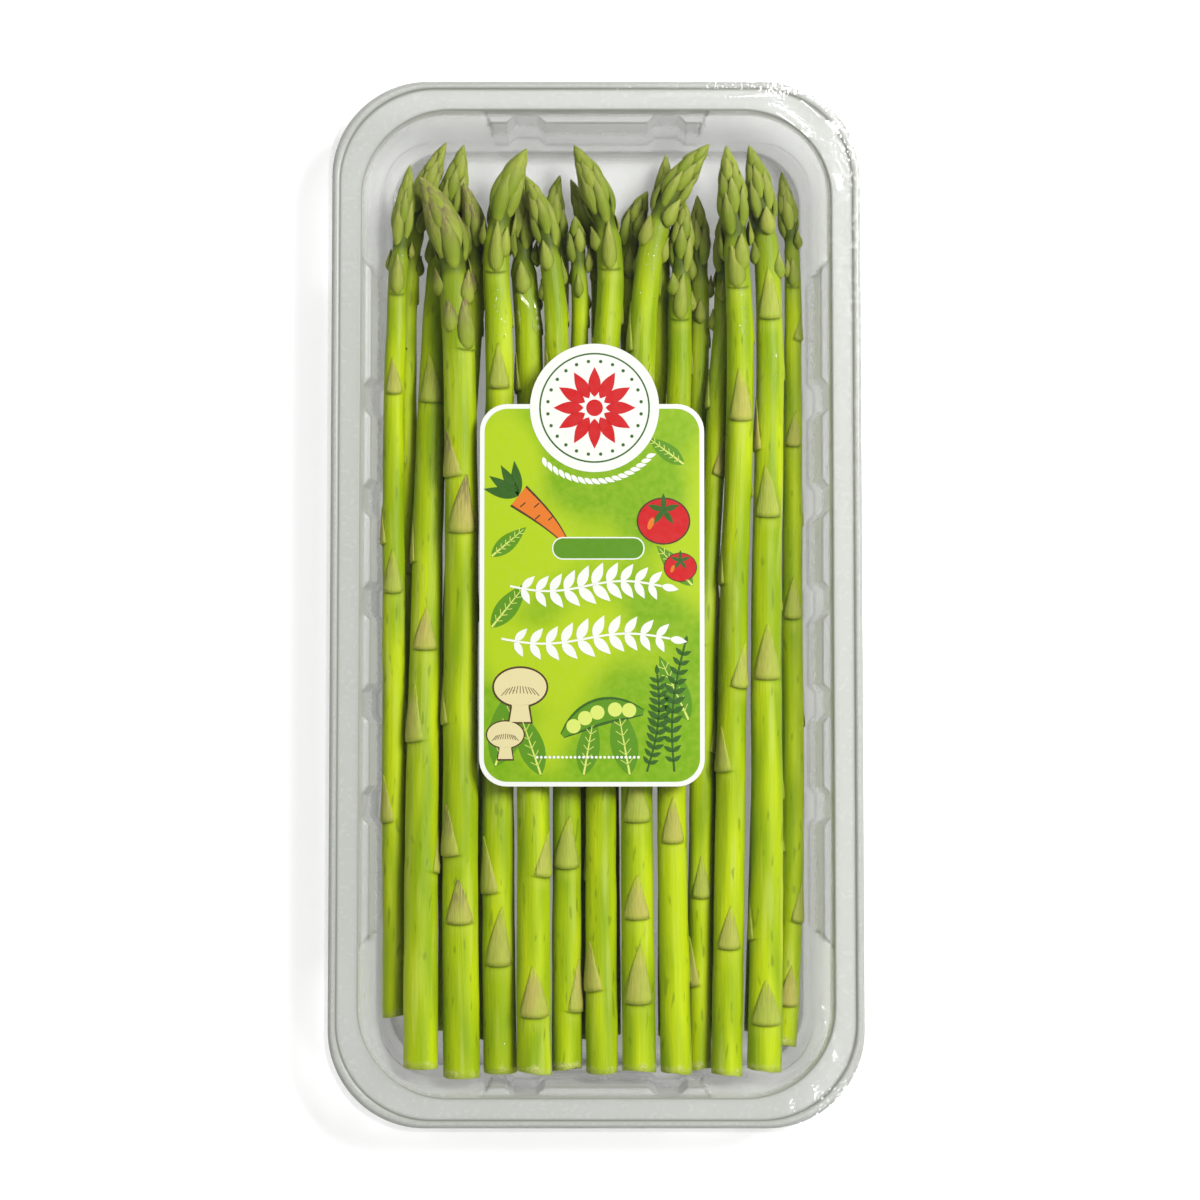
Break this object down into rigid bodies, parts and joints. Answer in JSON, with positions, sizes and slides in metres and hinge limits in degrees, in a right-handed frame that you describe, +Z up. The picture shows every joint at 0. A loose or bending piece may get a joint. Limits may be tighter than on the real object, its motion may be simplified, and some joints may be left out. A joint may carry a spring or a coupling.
{
  "type": "bundle of asparagus",
  "caption": "Bundle of green asparagus spears lying in a clear ribbed tray, wrapped in stretched clear film with a die-cut label on top.",
  "frame": {"origin": "on the surface that the pack lies on, under the middle of the pack", "axes": "+Z up, +Y along the spears towards their tips, +X to the right"},
  "size_m": [0.1288, 0.2518, 0.0223],
  "materials": {
    "spear": "satin green skin of a fresh stem",
    "tray": "clear, glossy",
    "film": "clear, glossy",
    "label": "satin print"
  },
  "bodies": {
    "root": {"spear_01": "spear", "spear_02": "spear", "spear_03": "spear", "spear_04": "spear", "spear_05": "spear", "spear_06": "spear", "spear_07": "spear", "spear_08": "spear", "spear_09": "spear", "spear_10": "spear", "spear_11": "spear", "spear_12": "spear", "spear_13": "spear", "spear_14": "spear", "spear_15": "spear", "spear_16": "spear", "spear_17": "spear", "spear_18": "spear", "spear_19": "spear", "spear_20": "spear", "spear_21": "spear", "spear_22": "spear", "spear_23": "spear", "tray": "tray", "film": "film", "label": "label"}
  },
  "joints": []
}
